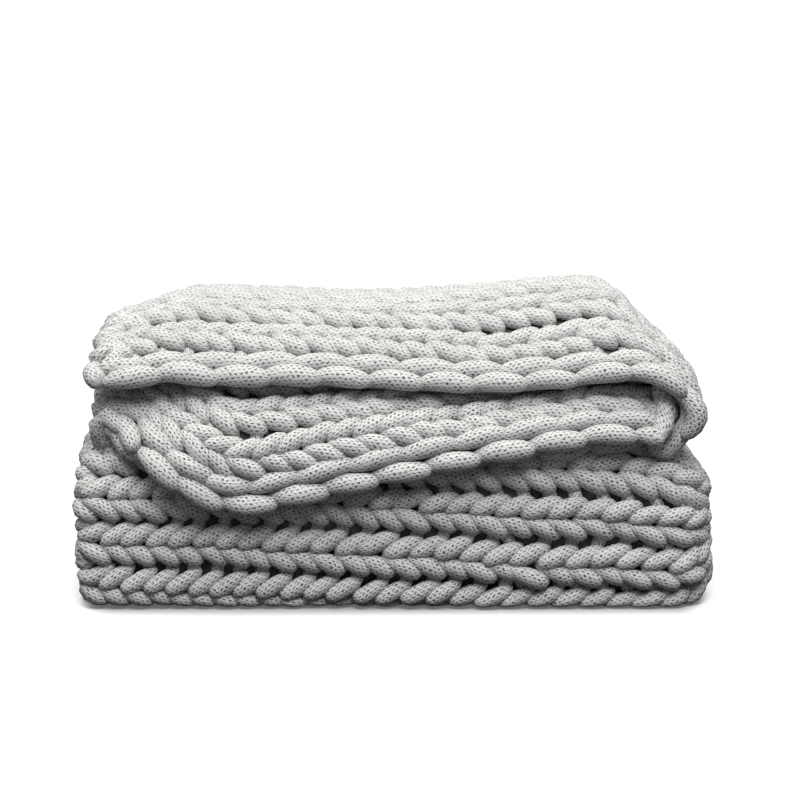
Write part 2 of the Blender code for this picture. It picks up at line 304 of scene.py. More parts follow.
def slump(x, y, z):
    """The crest, humps and hollows of a stack folded by hand. They fade out towards the floor."""
    left_share, *left_ends = LEFT_FALL
    right_share, *right_ends = RIGHT_FALL
    full = 1.0 - left_share * smooth_step(-x, *left_ends) - right_share * smooth_step(x, *right_ends)
    crest = CREST_RISE * smooth_step(y, CREST_START_Y, CREST_Y) * full
    rear = REAR_FALL * smooth_step(y, CREST_Y, REAR_FALL_END_Y)
    lift = crest - rear + mounds(LIFTS, x, y)
    narrowed = mounds(WAISTS, x, z) + mounds(DRAWN_IN_SIDES, x, y) * smooth_step(z, *UPPER_PANEL_Z)
    return x + narrowed, y, z + lift * smooth_step(z, 0.0, 3 * PANEL_HEIGHT)


def place_along(flat, level, reach, x):
    """How far along the folds a point comes to lie, from its place on the flat cloth."""
    skew = smooth_step(flat, TOP_START, BOTTOM_START) * (1.0 - smooth_step(flat, INNER_START, FLAT_LENGTH))
    middle_layers = np.clip(1.5 - abs(level), 0.0, 1.0)
    inner = INNER_REACH * middle_layers * fade(FLAT_LENGTH - flat, INNER_REACH_LENGTH)
    moved = reach * (1.0 - smooth_step(flat, *REACH_EASE))
    return flat - moved - RIB_SKEW * x * skew + inner


def folded(run, flat, lift):
    """Places in the stack of points of the flat cloth: run along its ribs, flat across them, lift over it."""
    x, level, reach, normal_x, normal_level = (
        section_at(run, name) for name in ("x", "level", "reach", "normal_x", "normal_level"))
    along = place_along(flat, level, reach, x)
    level = settled_level(along, level, x)
    y, z = letter_path(along, level + lift * normal_level / LAYER_PITCH)
    x, y, z = slump(x + lift * normal_x, y, z - (0.5 * LAYER_PITCH - FLOOR_TO_LAYER))
    return np.stack([x - STACK_CENTRE[0], y - STACK_CENTRE[1], z], axis=-1)


def laid(run, flat, lift):
    """Points over the cloth, and which way is out at each of them."""
    centre = folded(run, flat, lift)
    outward = folded(run, flat, lift + SMALL_STEP) - centre
    return centre, outward / np.linalg.norm(outward, axis=-1, keepdims=True)


def surface_steps(runs, before, flat, after):
    """How far a point moves for a small step: along the ribs, leaning over them, and square to them."""
    along = (folded(runs + SMALL_STEP, flat, 0.0) - folded(runs - SMALL_STEP, flat, 0.0)) / (2 * SMALL_STEP)
    over = (folded(runs, after, 0.0) - folded(runs, before, 0.0)) / (2 * SMALL_STEP)
    length = np.linalg.norm(along, axis=-1)
    lean = np.sum(over * along, axis=-1) / length
    square = np.sqrt(np.clip(np.sum(over * over, axis=-1) - lean * lean, 0.25, None))
    return np.clip(length, 0.7, 2.5), lean, square


class Wales:
    """Where the wales of one face lie, from the cloth's true length at its level."""

    def __init__(self, level, pitches, first, fanned):
        self.flats = np.linspace(-0.05, FLAT_LENGTH + 0.05, 2800)
        y, z = letter_path(self.flats, level)
        distance = np.concatenate([[0.0], np.cumsum(np.hypot(np.diff(y), np.diff(z)))])
        self.distances = distance - np.interp(0.0, self.flats, distance)
        last = np.interp(FLAT_LENGTH, self.flats, self.distances) - 0.012
        marks, widths = zip(*pitches)
        centres = [first]
        while True:
            following = centres[-1] + float(np.interp(centres[-1], marks, widths))
            if following > last:
                break
            centres.append(following)
        self.centres = np.array(centres)
        self.pitches = np.interp(self.centres, marks, widths)
        self.fans = self.fan_table() if fanned else None

    def fan_table(self):
        """Where the edge runs steeply, the wales beside it fan out to keep their distance from it."""
        runs = np.linspace(0.0, TOTAL_RUN, 1200)
        _, _, square = surface_steps(runs, 0.018, 0.020, 0.022)
        window = np.hanning(49)
        fans = np.convolve(np.clip(0.95 / square, 1.0, 1.6), window / window.sum(), mode="same")
        return runs, np.maximum(fans, 1.0)

    def between(self, low, high):
        """The numbers of the wales between two distances from the cloth's edge."""
        return [wale for wale, centre in enumerate(self.centres) if low <= centre < high]

    def distance(self, flat):
        """How far from its edge a place on the flat cloth comes to lie."""
        return float(np.interp(flat, self.flats, self.distances))

    def flat(self, distance, run=None):
        """The place on the flat cloth that lies at a distance from its edge."""
        if self.fans is not None and run is not None:
            near = 1.0 - smooth_step(distance, 0.050, 0.200)
            distance = distance * (1.0 + (np.interp(run, *self.fans) - 1.0) * near)
        return np.interp(distance, self.distances, self.flats)

    def steps(self, runs, rows):
        return surface_steps(runs, *(self.flat(rows + step, runs) for step in (-SMALL_STEP, 0.0, SMALL_STEP)))


# ---- helpers

def link_object(name, data):
    made = bpy.data.objects.new(name, data)
    bpy.context.scene.collection.objects.link(made)
    return made


def finish_piece(name, mesh):
    """A closed piece, flat where it meets the floor. It moves with the blanket and stands for its solid."""
    shell = bmesh.new()
    shell.from_mesh(mesh)
    bmesh.ops.recalc_face_normals(shell, faces=shell.faces)
    for vertex in shell.verts:
        if vertex.co.z < FLOOR_BAND:
            vertex.co.z = FLOOR_BAND * math.exp((vertex.co.z - FLOOR_BAND) / FLOOR_BAND)
    shell.to_mesh(mesh)
    shell.free()
    mesh.shade_smooth()
    piece = link_object(name, mesh)
    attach(piece, "root")
    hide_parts(NODE)
    return piece


def joined(parts):
    """All the numbers of some arrays in one row, in single precision."""
    return np.concatenate([part.ravel() for part in parts]).astype(np.float32)


def path_mesh(name, blocks):
    """One mesh of open yarn paths. A block is their points, how full the yarn is and which way is out."""
    edges, start = [], 0
    for points, _, _ in blocks:
        paths, count, _ = points.shape
        first = start + np.arange(paths)[:, None] * count + np.arange(count - 1)[None, :]
        edges.append(np.stack([first, first + 1], axis=-1).ravel())
        start += paths * count
    edges = np.concatenate(edges).astype(np.int32)
    mesh = bpy.data.meshes.new(name)
    mesh.vertices.add(start)
    mesh.edges.add(len(edges) // 2)
    mesh.edges.foreach_set("vertices", edges)
    points, fullness, outward = zip(*blocks)
    fullness = [np.broadcast_to(full, places.shape[:-1]) for full, places in zip(fullness, points)]
    mesh.vertices.foreach_set("co", joined(points))
    mesh.attributes.new("fullness", "FLOAT", "POINT").data.foreach_set("value", joined(fullness))
    mesh.attributes.new("outward", "FLOAT_VECTOR", "POINT").data.foreach_set("vector", joined(outward))
    mesh.update()
    return mesh


# ---- yarn node tree

class Value:
    """A node's output that takes part in sums: each operation adds a Math node."""

    def __init__(self, build, socket):
        self.build = build
        self.socket = socket

    def __add__(self, other):
        return self.build.math("ADD", self, other)

    def __sub__(self, other):
        return self.build.math("SUBTRACT", self, other)

    def __rsub__(self, other):
        return self.build.math("SUBTRACT", other, self)

    def __mul__(self, other):
        return self.build.math("MULTIPLY", self, other)


class TreeBuilder:
    """Adds nodes and links to a tree, from left to right."""

    def __init__(self, tree):
        self.tree = tree
        self.column = 0

    def feed(self, socket, value):
        """Links a node's output to a socket, or sets the socket's own value."""
        if isinstance(value, Value):
            value = value.socket
        if isinstance(value, bpy.types.NodeSocket):
            self.tree.links.new(value, socket)
        else:
            socket.default_value = value

    def node(self, kind, inputs=(), **settings):
        node = self.tree.nodes.new(kind)
        node.location = (self.column * 180, 0)
        self.column += 1
        for name, value in settings.items():
            setattr(node, name, value)
        for name, value in dict(inputs).items():
            self.feed(node.inputs[name], value)
        return node

    def value(self, kind, output, inputs=(), **settings):
        return Value(self, self.node(kind, inputs, **settings).outputs[output])

    def math(self, operation, *values):
        return self.value("ShaderNodeMath", 0, enumerate(values), operation=operation)

    def noise(self, where, scale, detail):
        return self.value("ShaderNodeTexNoise", "Fac", {"Vector": where, "Scale": scale, "Detail": detail})

    def ramp(self, value, start, end, low, high, **settings):
        """Carries a value from one range to another."""
        return self.value("ShaderNodeMapRange", "Result", {
            "Value": value, "From Min": start, "From Max": end, "To Min": low, "To Max": high}, **settings)

    def axes(self, vector):
        outputs = self.node("ShaderNodeSeparateXYZ", {"Vector": vector}).outputs
        return [Value(self, outputs[axis]) for axis in "XYZ"]

    def tint(self, colour, shade):
        """A colour multiplied by a shade."""
        mix = self.node("ShaderNodeMix", data_type="RGBA", blend_type="MULTIPLY")
        sockets = {socket.identifier: socket for socket in mix.inputs}
        for identifier, value in (("Factor_Float", 1.0), ("A_Color", (*colour, 1.0)), ("B_Color", shade)):
            self.feed(sockets[identifier], value)
        return next(socket for socket in mix.outputs if socket.identifier == "Result_Color")


TREE_NAME = "Yarn Along Paths"
TREE_INPUTS = (("Paths", "Geometry", None), ("Yarn Radius", "Float", 0.007), ("Sides", "Int", 8),
               ("Unevenness", "Float", 0.03), ("Seed", "Int", 5), ("Material", "Material", None))


def yarn_tree():
    """Skins every path with round yarn, divided evenly, closed at its ends and mapped by length."""
    tree = bpy.data.node_groups.new(TREE_NAME, "GeometryNodeTree")
    for name, kind, value in TREE_INPUTS:
        socket = tree.interface.new_socket(name, in_out="INPUT", socket_type="NodeSocket" + kind)
        if value is not None:
            socket.default_value = value
    tree.interface.new_socket("Yarn", in_out="OUTPUT", socket_type="NodeSocketGeometry")
    build = TreeBuilder(tree)
    given = build.node("NodeGroupInput").outputs

    def attribute(name, kind):
        return build.value("GeometryNodeInputNamedAttribute", "Attribute", {"Name": name}, data_type=kind)

    def captured(geometry, name, value):
        capture = build.node("GeometryNodeCaptureAttribute", {"Geometry": geometry}, domain="POINT")
        capture.capture_items.new("FLOAT", name)
        build.feed(capture.inputs[name], value)
        return capture.outputs

    curve = build.value("GeometryNodeMeshToCurve", "Curve", {"Mesh": given["Paths"]})
    turned = build.value("GeometryNodeSetCurveNormal", "Curve", {
        "Curve": curve, "Normal": attribute("outward", "FLOAT_VECTOR")}, mode="FREE")
    path = captured(turned, "Length", build.value("GeometryNodeSplineParameter", "Length"))

    share = build.math("DIVIDE", build.value("GeometryNodeInputIndex", "Index"), given["Sides"])
    turn = share * (2 * math.pi)
    count = build.math("ADD", given["Sides"], 1.0)
    around = captured(build.value("GeometryNodeMeshLine", "Mesh", {"Count": count}), "Share", share)
    ring = build.value("ShaderNodeCombineXYZ", "Vector", {
        "X": build.math("COSINE", turn), "Y": build.math("SINE", turn)})
    placed = build.value("GeometryNodeSetPosition", "Geometry", {
        "Geometry": around["Geometry"], "Position": ring})
    girth = build.value("GeometryNodeMeshToCurve", "Curve", {"Mesh": placed})

    uneven = build.node("FunctionNodeRandomValue", data_type="FLOAT")
    unevenness = Value(build, given["Unevenness"])
    sockets = {socket.identifier: socket for socket in uneven.inputs}
    for identifier, value in (
            ("Min_001", 1.0 - unevenness), ("Max_001", unevenness + 1.0), ("Seed", given["Seed"]),
            ("ID", build.value("GeometryNodeCurveOfPoint", "Curve Index"))):
        build.feed(sockets[identifier], value)
    varied = next(socket for socket in uneven.outputs if socket.identifier == "Value_001")
    size = attribute("fullness", "FLOAT") * varied * given["Yarn Radius"]
    skin = build.value("GeometryNodeCurveToMesh", "Mesh", {
        "Curve": path["Geometry"], "Profile Curve": girth, "Scale": size})
    place = build.value("ShaderNodeCombineXYZ", "Vector", {"X": path["Length"], "Y": around["Share"]})
    yarn = build.value("GeometryNodeStoreNamedAttribute", "Geometry", {
        "Geometry": skin, "Name": "yarn_map", "Value": place}, data_type="FLOAT2", domain="CORNER")
    for kind, inputs in (("MergeByDistance", {"Distance": 1e-5}), ("RealizeInstances", {}),
                         ("SetMaterial", {"Material": given["Material"]})):
        yarn = build.value("GeometryNode" + kind, "Geometry", {"Geometry": yarn, **inputs})
    build.node("NodeGroupOutput", {"Yarn": yarn})
    return tree


def skin_paths(name, blocks, sides, settings):
    """Turns yarn paths into one finished piece."""
    tree = bpy.data.node_groups.get(TREE_NAME) or yarn_tree()
    identifiers = {item.name: item.identifier for item in tree.interface.items_tree}
    carrier = link_object(name + "_paths", path_mesh(name + "_paths", blocks))
    skin = carrier.modifiers.new("Yarn", "NODES")
    skin.node_group = tree
    for socket, value in (("Yarn Radius", settings.yarn_radius), ("Sides", sides), ("Seed", settings.seed),
                          ("Unevenness", settings.unevenness), ("Material", yarn_material(settings))):
        skin[identifiers[socket]] = value
    evaluated = carrier.evaluated_get(bpy.context.evaluated_depsgraph_get())
    mesh = bpy.data.meshes.new_from_object(evaluated)
    carrier.modifiers.remove(skin)
    bpy.data.objects.remove(carrier)
    if not mesh.polygons:
        raise RuntimeError(name + ": no yarn was made")
    mesh.name = name
    finish_piece(name, mesh)


# ---- materials

def new_material(name):
    """A material with the builder of its tree and its main shader."""
    material = bpy.data.materials.new(name)
    material.use_nodes = True
    return material, TreeBuilder(material.node_tree), material.node_tree.nodes["Principled BSDF"]


def set_surface(build, shader, colour, relief, relief_strength, relief_depth, finish):
    """The shader's colour, its relief and the numbers of its finish."""
    bump = build.value("ShaderNodeBump", "Normal", {
        "Height": relief, "Strength": relief_strength, "Distance": relief_depth})
    for name, value in (("Normal", bump), ("Base Color", colour), *finish):
        build.feed(shader.inputs[name], value)


def yarn_material(settings):
    """Soft tube-knit yarn: rows of fine loops with painted shade in a pit between each pair, and a short
    fuzz.
    """
    name = "grey_tube_yarn"
    if name in bpy.data.materials:
        return bpy.data.materials[name]
    material, build, shader = new_material(name)
    where = build.value("ShaderNodeTexCoord", "Object")
    along, around, _ = build.axes(build.value("ShaderNodeUVMap", "UV", uv_map="yarn_map"))
    wobble = (build.noise(where, 240.0, 2.0) - 0.5) * 5.0
    columns = around * (math.pi * settings.loop_columns) + (wobble + along * settings.loop_twist)
    loops = along * (2 * math.pi / settings.loop_length) + build.math("SINE", columns) * 0.7
    lattice = build.math("COSINE", columns) * 0.84 + build.math("COSINE", loops) * 0.16
    lattice = build.math("ABSOLUTE", lattice)
    pit = build.ramp(lattice, 0.66, 0.92, 0.0, 1.0, interpolation_type="SMOOTHSTEP")
    strands = build.math("COSINE", loops * 2.0 + build.math("COSINE", columns * 2.0) * 2.0)
    fuzz = build.noise(where, 1500.0, 3.0)
    relief = fuzz * 0.3 + strands * 0.16 - pit

    tone = build.ramp(build.noise(where, 28.0, 3.0), 0.3, 0.7, 0.93, 1.05)
    speck = build.ramp(fuzz, 0.3, 0.75, 0.86, 1.06)
    # how dark the painted shade in each pit is, at random
    depth = build.ramp(build.noise(where, 420.0, 1.0), 0.35, 0.62, 0.35, 1.0)
    # painted shade: the pits are darkened, less so high up, where the light falls straight into them
    pit_shade_by_height = build.ramp(build.axes(where)[2], 0.180, 0.245, 0.92, 0.50)
    # the yarn's colour, with the painted shade of the pits
    shade = tone * speck * (1.0 - pit * depth * pit_shade_by_height)
    set_surface(build, shader, build.tint(settings.yarn_colour, shade), relief, 0.8, 0.0009, (
        ("Roughness", 0.95), ("Specular IOR Level", 0.15), ("Sheen Weight", 0.08), ("Sheen Roughness", 0.6)))
    return material


def ground_material(settings):
    """The purl side seen down between the stitches: the same yarn, lumpy, and darkened with painted shade."""
    material, build, shader = new_material("ground_yarn_painted_shade")
    where = build.value("ShaderNodeTexCoord", "Object")
    lumps = build.value("ShaderNodeTexVoronoi", "Distance", {"Vector": where, "Scale": 90.0})
    relief = lumps * -1.0 + build.noise(where, 900.0, 3.0) * 0.2
    # painted shade: the yarn's colour darkened to between 0.30 and 0.12 of itself, darkest in the hollows
    # between the lumps
    shade = build.ramp(lumps, 0.1, 0.7, 0.30, 0.12)
    set_surface(build, shader, build.tint(settings.yarn_colour, shade), relief, 1.0, 0.003, (
        ("Roughness", 1.0), ("Specular IOR Level", 0.1)))
    return material


def floor_material(stage):
    """A white floor that is exposed almost to the full, throws little light back at the blanket, and has a
    painted shadow beside its foot.
    """
    material, build, shown = new_material("studio_floor")
    places = build.axes(build.value("ShaderNodeTexCoord", "Object"))
    beyond = [build.math("MAXIMUM", build.math("ABSOLUTE", place) - half, 0.0)
              for place, half in zip(places, FOOT_HALF_SIZE)]
    away = build.math("SQRT", beyond[0] * beyond[0] + beyond[1] * beyond[1])
    # near the blanket's foot the floor's colour is scaled down: a painted shadow
    exposed = build.ramp(away, 0.0, PAINTED_SHADOW_WIDTH, PAINTED_SHADOW_LEVEL, 1.0, interpolation_type="SMOOTHSTEP")
    white = build.value("ShaderNodeVectorMath", "Vector", {
        0: tuple(stage.floor_colour), "Scale": exposed}, operation="SCALE")
    for name, value in (("Roughness", 0.9), ("Base Color", white), ("Emission Color", (1.0, 1.0, 1.0, 1.0)),
                        ("Emission Strength", stage.floor_glow)):
        build.feed(shown.inputs[name], value)
    bounced = build.value("ShaderNodeBsdfDiffuse", 0, {"Color": (*[stage.floor_bounce] * 3, 1.0)})
    seen_or_bounced(build, bounced, shown.outputs[0], "Material Output")
    return material


def seen_or_bounced(build, bounced, shown, output):
    """Shows one shader to the camera, and lights the blanket by the other."""
    seen = build.value("ShaderNodeLightPath", "Is Camera Ray")
    mixed = build.value("ShaderNodeMixShader", 0, {0: seen, 1: bounced, 2: shown})
    build.feed(build.tree.nodes[output].inputs["Surface"], mixed)


# ---- settings

def a_number(name, default, low, high, description, **kind):
    return FloatProperty(name=name, description=description, default=default, min=low, max=high, **kind)


def a_length(*row):
    return a_number(*row, unit="LENGTH")


def a_colour(name, default, description):
    return FloatVectorProperty(name=name, description=description, default=default, size=3, min=0.0, max=1.0,
                               subtype="COLOR")


class BLANKET_PG_yarn(bpy.types.PropertyGroup):
    yarn_radius: a_length("Yarn Radius", 0.0076, 0.003, 0.012,
                          "Half the thickness of the yarn in a leg of a stitch")
    unevenness: a_number("Unevenness", 0.05, 0.0, 0.3,
                         "How much one strand's thickness differs from the next", subtype="FACTOR")
    seed: IntProperty(name="Seed", description="Starts everything that is random", default=7, min=0)
    yarn_colour: a_colour("Yarn Colour", (0.576, 0.563, 0.547), "Undyed pale grey of the yarn")
    loop_length: a_length("Loop Length", 0.0043, 0.001, 0.01, "Length of one fine loop of the tube-knit yarn")
    loop_columns: IntProperty(name="Loop Columns", default=16, min=4, max=48,
                              description="Columns of fine loops round the yarn, an even number")
    loop_twist: a_number("Loop Twist", 120.0, -1000.0, 1000.0,
                         "How fast the columns of loops turn round the yarn")


class BLANKET_PG_stitches(bpy.types.PropertyGroup):
    top_stitch: a_length("Top Stitch", 0.0204, 0.01, 0.04, "Length of a stitch on the top and the lip")
    left_stitch: a_length("Left Stitch", 0.0180, 0.01, 0.04, "Length of a stitch at the lower block's left")
    right_stitch: a_length("Right Stitch", 0.0212, 0.01, 0.04,
                           "Length of a stitch at the lower block's right")
    leg_share: a_number("Leg Share", 1.68, 0.5, 3.0, "Length of one leg, as a share of its stitch")
    leg_slant: a_length("Leg Slant", 0.0109, 0.0, 0.03,
                        "How far a leg spreads from its inner to its outer end")
    leg_spread: a_length("Leg Spread", 0.0073, 0.002, 0.02,
                         "From the middle of a wale to the middle of its legs")
    leg_lift: a_length("Leg Lift", 0.0025, -0.01, 0.01, "Height of a leg's middle over the cloth's middle")
    leg_dive: a_length("Leg Dive", 0.0070, 0.0, 0.02, "How far a leg's ends go down into the cloth")
    bar_lift: a_length("Bar Lift", -0.0046, -0.01, 0.01,
                       "Height of the bars between wales over the cloth's middle")


class BLANKET_PG_edge(bpy.types.PropertyGroup):
    link_length: a_length("Link Length", 0.0410, 0.02, 0.06, "Length of one link of the chain edge")


class BLANKET_PG_stage(bpy.types.PropertyGroup):
    floor_colour: a_colour("Floor Colour", (0.90, 0.90, 0.90), "Pale studio floor")
    floor_glow: a_number("Floor Glow", 0.12, 0.0, 2.0, "How far the floor is exposed beyond its lighting")
    floor_bounce: a_number("Floor Bounce", 0.02, 0.0, 1.0, "How much light the floor throws back",
                           subtype="FACTOR")
    camera_distance: a_length("Camera Distance", 1.7370, 0.5, 5.0, "How far in front of the stack's middle")
    camera_height: a_length("Camera Height", 0.437, 0.0, 3.0, "Height of the camera over the floor")
    camera_tilt: a_number("Camera Tilt", math.radians(10.10), 0.0, 1.5, "How far the camera looks down",
                          subtype="ANGLE")
    surroundings: a_number("Surroundings", 0.33, 0.0, 5.0, "How bright the studio's walls are")
    lens: a_number("Lens", 88.02, 20.0, 300.0, "Focal length on a 36 mm sensor, in millimetres")


# ---- stitches

def table_of(*values):
    """Numbers and arrays as the rows of one table, all made equally long."""
    return np.stack(np.broadcast_arrays(*values))


def leg_paths(wales, rows, runs, sides, half, slant, spread, stitches, shares, rng):
    """Points, fullness and outward direction of legs. Rows, runs and sides are arrays of equal length."""
    q = np.array(shares)[None, :]
    inward, onward = np.clip(-q, 0.0, 1.0), np.clip(q, 0.0, 1.0)
    upper = sides[:, None] > 0

    def shape(field):
        return np.where(upper, getattr(UPPER_LEG, field), getattr(LOWER_LEG, field))

    # a leg swings in an S, so that its ends run along the wale
    swing = q * (1.6 - 0.6 * onward ** 2 - 0.5 * inward ** 2)
    along, lean, square = (steps[:, None] for steps in wales.steps(runs, rows))
    across = sides[:, None] * (spread[:, None] + 0.5 * slant[:, None] * swing)
    across = (across + rng.normal(0.0, ROW_SCATTER, rows.size)[:, None]) / square
    run = runs[:, None] + (half[:, None] * q - lean * across) / along
    height = stitches.leg_lift - shape("rise") * q
    height = height - stitches.leg_dive * (INNER_END_DIVE * inward ** 4.0 + OUTER_END_DIVE * onward ** 4.0)
    height = height + rng.normal(0.0, HEIGHT_SCATTER, rows.size)[:, None]
    centre, outward = laid(run, wales.flat(rows[:, None] + across, run), height)
    fullness = np.sqrt(1.0 - inward ** shape("inner_bluntness") - onward ** shape("outer_bluntness"))
    fullness = fullness * (1.0 - shape("inner_thinning") * inward - shape("outer_thinning") * onward)
    return centre, fullness, outward


def wale_places(wales, number, ends, stitches):
    """Where the stitches of one wale are centred along the ribs, and how long each of them is."""
    rng = np.random.default_rng(1000 + number)
    runs = np.linspace(*ends, 300)
    centre = np.full(runs.shape, wales.centres[number])
    rightward = smooth_step(section_at(runs), -0.24, 0.24)
    lower = stitches.left_stitch + (stitches.right_stitch - stitches.left_stitch) * rightward
    below = smooth_step(centre, REAR_START, BOTTOM_START)
    length = (stitches.top_stitch + (lower - stitches.top_stitch) * below) * (1.0 + rng.uniform(-0.02, 0.02))
    path = folded(runs, wales.flat(centre, runs), 0.0)
    steps = np.linalg.norm(np.diff(path, axis=0), axis=-1)
    count = np.concatenate([[0.0], np.cumsum(steps / length[1:])])
    places = np.interp(np.arange(rng.uniform(0.0, 1.0), count[-1], 1.0), count, runs)
    return places + rng.normal(0.0, RUN_SCATTER, places.size), np.interp(places, runs, length)


def wale_legs(wales, chosen, ends, stitches, rng, close, keep):
    """Every leg of the chosen wales between two places along the ribs."""
    blocks = []
    for wale in chosen:
        places, pitch = wale_places(wales, wale, ends, stitches)
        for side in (-1.0, 1.0):
            blocks.append(table_of(wales.centres[wale], places, side, pitch, wales.pitches[wale]))
    legs = np.concatenate(blocks, axis=1)
    if keep:
        legs = legs[:, keep(section_at(legs[1]))]
    rows, runs, sides, pitches, widths = legs
    half = stitches.leg_share / 2 * pitches * (1.0 + rng.normal(0.0, 0.03, rows.size))
    # the legs lie flatter in narrow wales, and towards the right, where the rows were pulled longer
    slant = stitches.leg_slant * (0.85 + 0.15 * smooth_step(widths, NARROW_WALE, WIDE_WALE))
    slant = slant * (1.06 - 0.18 * smooth_step(section_at(runs), -0.20, 0.20))
    spread = np.minimum(stitches.leg_spread, 0.25 * widths)
    shares = LEG_SHARES_CLOSE if close else LEG_SHARES_FAR
    return leg_paths(wales, rows, runs, sides, half, slant, spread, stitches, shares, rng)


OUTER_WALES = Wales(1.5, OUTER_PITCHES, OUTER_FIRST_WALE, False)
LIP_WALES = Wales(-0.5, LIP_PITCHES, LIP_FIRST_WALE, True)
# the stitches of the outer face go on round both end folds, and the lip's begin just before its left one
OUTER_ENDS = (RUN_MARKS["outer face"][0] - 0.036, RUN_MARKS["outer face"][1] + 0.102)
LIP_ENDS = (RUN_MARKS["under face"][1] - 0.015, RUN_MARKS["lip"][1])
LIP_DEPTH = 0.20  # the lip's stitches end this far from the cloth's edge
# and the outer face's pieces meet at these distances from it
TOP_END, REAR_END, FRONT_START, FRONT_END = map(
    OUTER_WALES.distance, (REAR_START + 0.02, BOTTOM_START, TIGHT_START - 0.06, INNER_START + 0.06))


def knit(context, seed_step, wales, ends, pieces):
    """Knits pieces. Each has a name, the distances it lies between, if it is seen close and what it keeps."""
    scene = context.scene
    rng = np.random.default_rng(scene.blanket_yarn.seed + seed_step)
    for name, low, high, close, keep in pieces:
        chosen = wales.between(low, high)
        legs = wale_legs(wales, chosen, ends, scene.blanket_stitches, rng, close, keep)
        skin_paths(name, [legs], 10 if close else 8, scene.blanket_yarn)
    return {"FINISHED"}


class BLANKET_OT_top(bpy.types.Operator):
    """Knits the wales of the top and the rear fold"""
    bl_idname = "blanket.top_stitches"
    bl_label = "Top Stitches"

    def execute(self, context):
        return knit(context, 0, OUTER_WALES, OUTER_ENDS, (
            ("top_stitches", 0.0, TOP_END, True, None),
            ("rear_stitches", TOP_END, REAR_END, False, None)))


class BLANKET_OT_front(bpy.types.Operator):
    """Knits the wales of the underside, the front fold and the panel inside"""
    bl_idname = "blanket.front_stitches"
    bl_label = "Front Stitches"

    def execute(self, context):
        return knit(context, 1, OUTER_WALES, OUTER_ENDS, (
            ("underside_stitches", REAR_END, FRONT_START, False, None),
            ("front_stitches", FRONT_START, FRONT_END, True, None),
            ("inner_stitches", FRONT_END, math.inf, False, lambda x: np.abs(x) > 0.17)))


class BLANKET_OT_lip(bpy.types.Operator):
    """Knits the wales of the lip, and round the left folds behind it"""
    bl_idname = "blanket.lip_stitches"
    bl_label = "Lip Stitches"

    def execute(self, context):
        return knit(context, 2, LIP_WALES, LIP_ENDS, (
            ("lip_stitches", 0.0, LIP_DEPTH, True, None),
            ("left_fold_stitches", LIP_DEPTH, math.inf, False, lambda x: x < -0.20)))


def bar_paths(wales, high, ends, stitches, rng):
    """The bars of yarn that cross from one wale to the next, down in the hollow between them."""
    beside_chain, _ = wale_places(wales, 0, ends, stitches)
    first = wales.centres[0]
    blocks = [table_of((first + CHAIN_WIDTH) / 2, beside_chain, 0.0, first - CHAIN_WIDTH)]
    for wale in wales.between(0.0, high):
        if wale + 1 >= len(wales.centres):
            continue
        centre, following = wales.centres[wale:wale + 2]
        here, _ = wale_places(wales, wale, ends, stitches)
        there, _ = wale_places(wales, wale + 1, ends, stitches)
        partners = there[np.abs(there[None, :] - here[:, None]).argmin(axis=1)]
        slope = np.clip((partners - here) / 2, -0.006, 0.006)
        between = (here + partners) / 2 + 0.45 * np.gradient(here)
        blocks.append(table_of((following + centre) / 2, between, slope, following - centre))
    rows, runs, slopes, gaps = (row[:, None] for row in np.concatenate(blocks, axis=1))
    q = np.array(BAR_SHARES)[None, :]
    run = runs + slopes * q
    height = stitches.bar_lift + rng.normal(0.0, HEIGHT_SCATTER, runs.size)[:, None]
    centre, outward = laid(run, wales.flat(rows + gaps * BAR_REACH * q, run), height)
    return centre, np.where(np.abs(q) > 0.99, 0.0, BAR_FULLNESS), outward


class BLANKET_OT_bars(bpy.types.Operator):
    """Lays the bars of yarn in the hollows between the wales"""
    bl_idname = "blanket.bars"
    bl_label = "Bars Between Wales"

    def execute(self, context):
        scene = context.scene
        rng = np.random.default_rng(scene.blanket_yarn.seed + 3)
        blocks = [bar_paths(wales, high, ends, scene.blanket_stitches, rng) for wales, high, ends in (
            (OUTER_WALES, math.inf, OUTER_ENDS), (LIP_WALES, LIP_DEPTH, LIP_ENDS))]
        skin_paths("bars", blocks, 6, scene.blanket_yarn)
        return {"FINISHED"}


